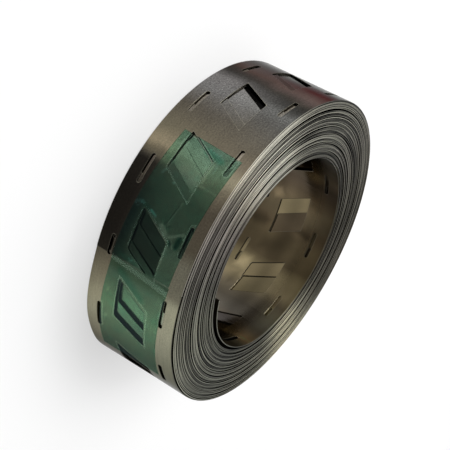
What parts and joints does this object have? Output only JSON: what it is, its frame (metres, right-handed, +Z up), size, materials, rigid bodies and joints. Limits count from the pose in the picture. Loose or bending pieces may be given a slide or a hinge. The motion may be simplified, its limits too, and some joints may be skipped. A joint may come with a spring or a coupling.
{
  "type": "coil of stamped nickel battery strip",
  "caption": "Coil of slotted and windowed nickel strip for joining round battery cells, wound on itself, its outer end held down by a tape.",
  "frame": {"origin": "centre of the bore on the end face that the coil stands on", "axes": "+Z up along the bore, -Y towards the side where the tape and the strip's outer end are"},
  "size_m": [0.0758, 0.0761, 0.023],
  "materials": {
    "nickel": "satin rolled nickel",
    "tape": "glossy translucent green film"
  },
  "bodies": {
    "root": {"strip_coil": "nickel", "end_tape": "tape"}
  },
  "joints": []
}
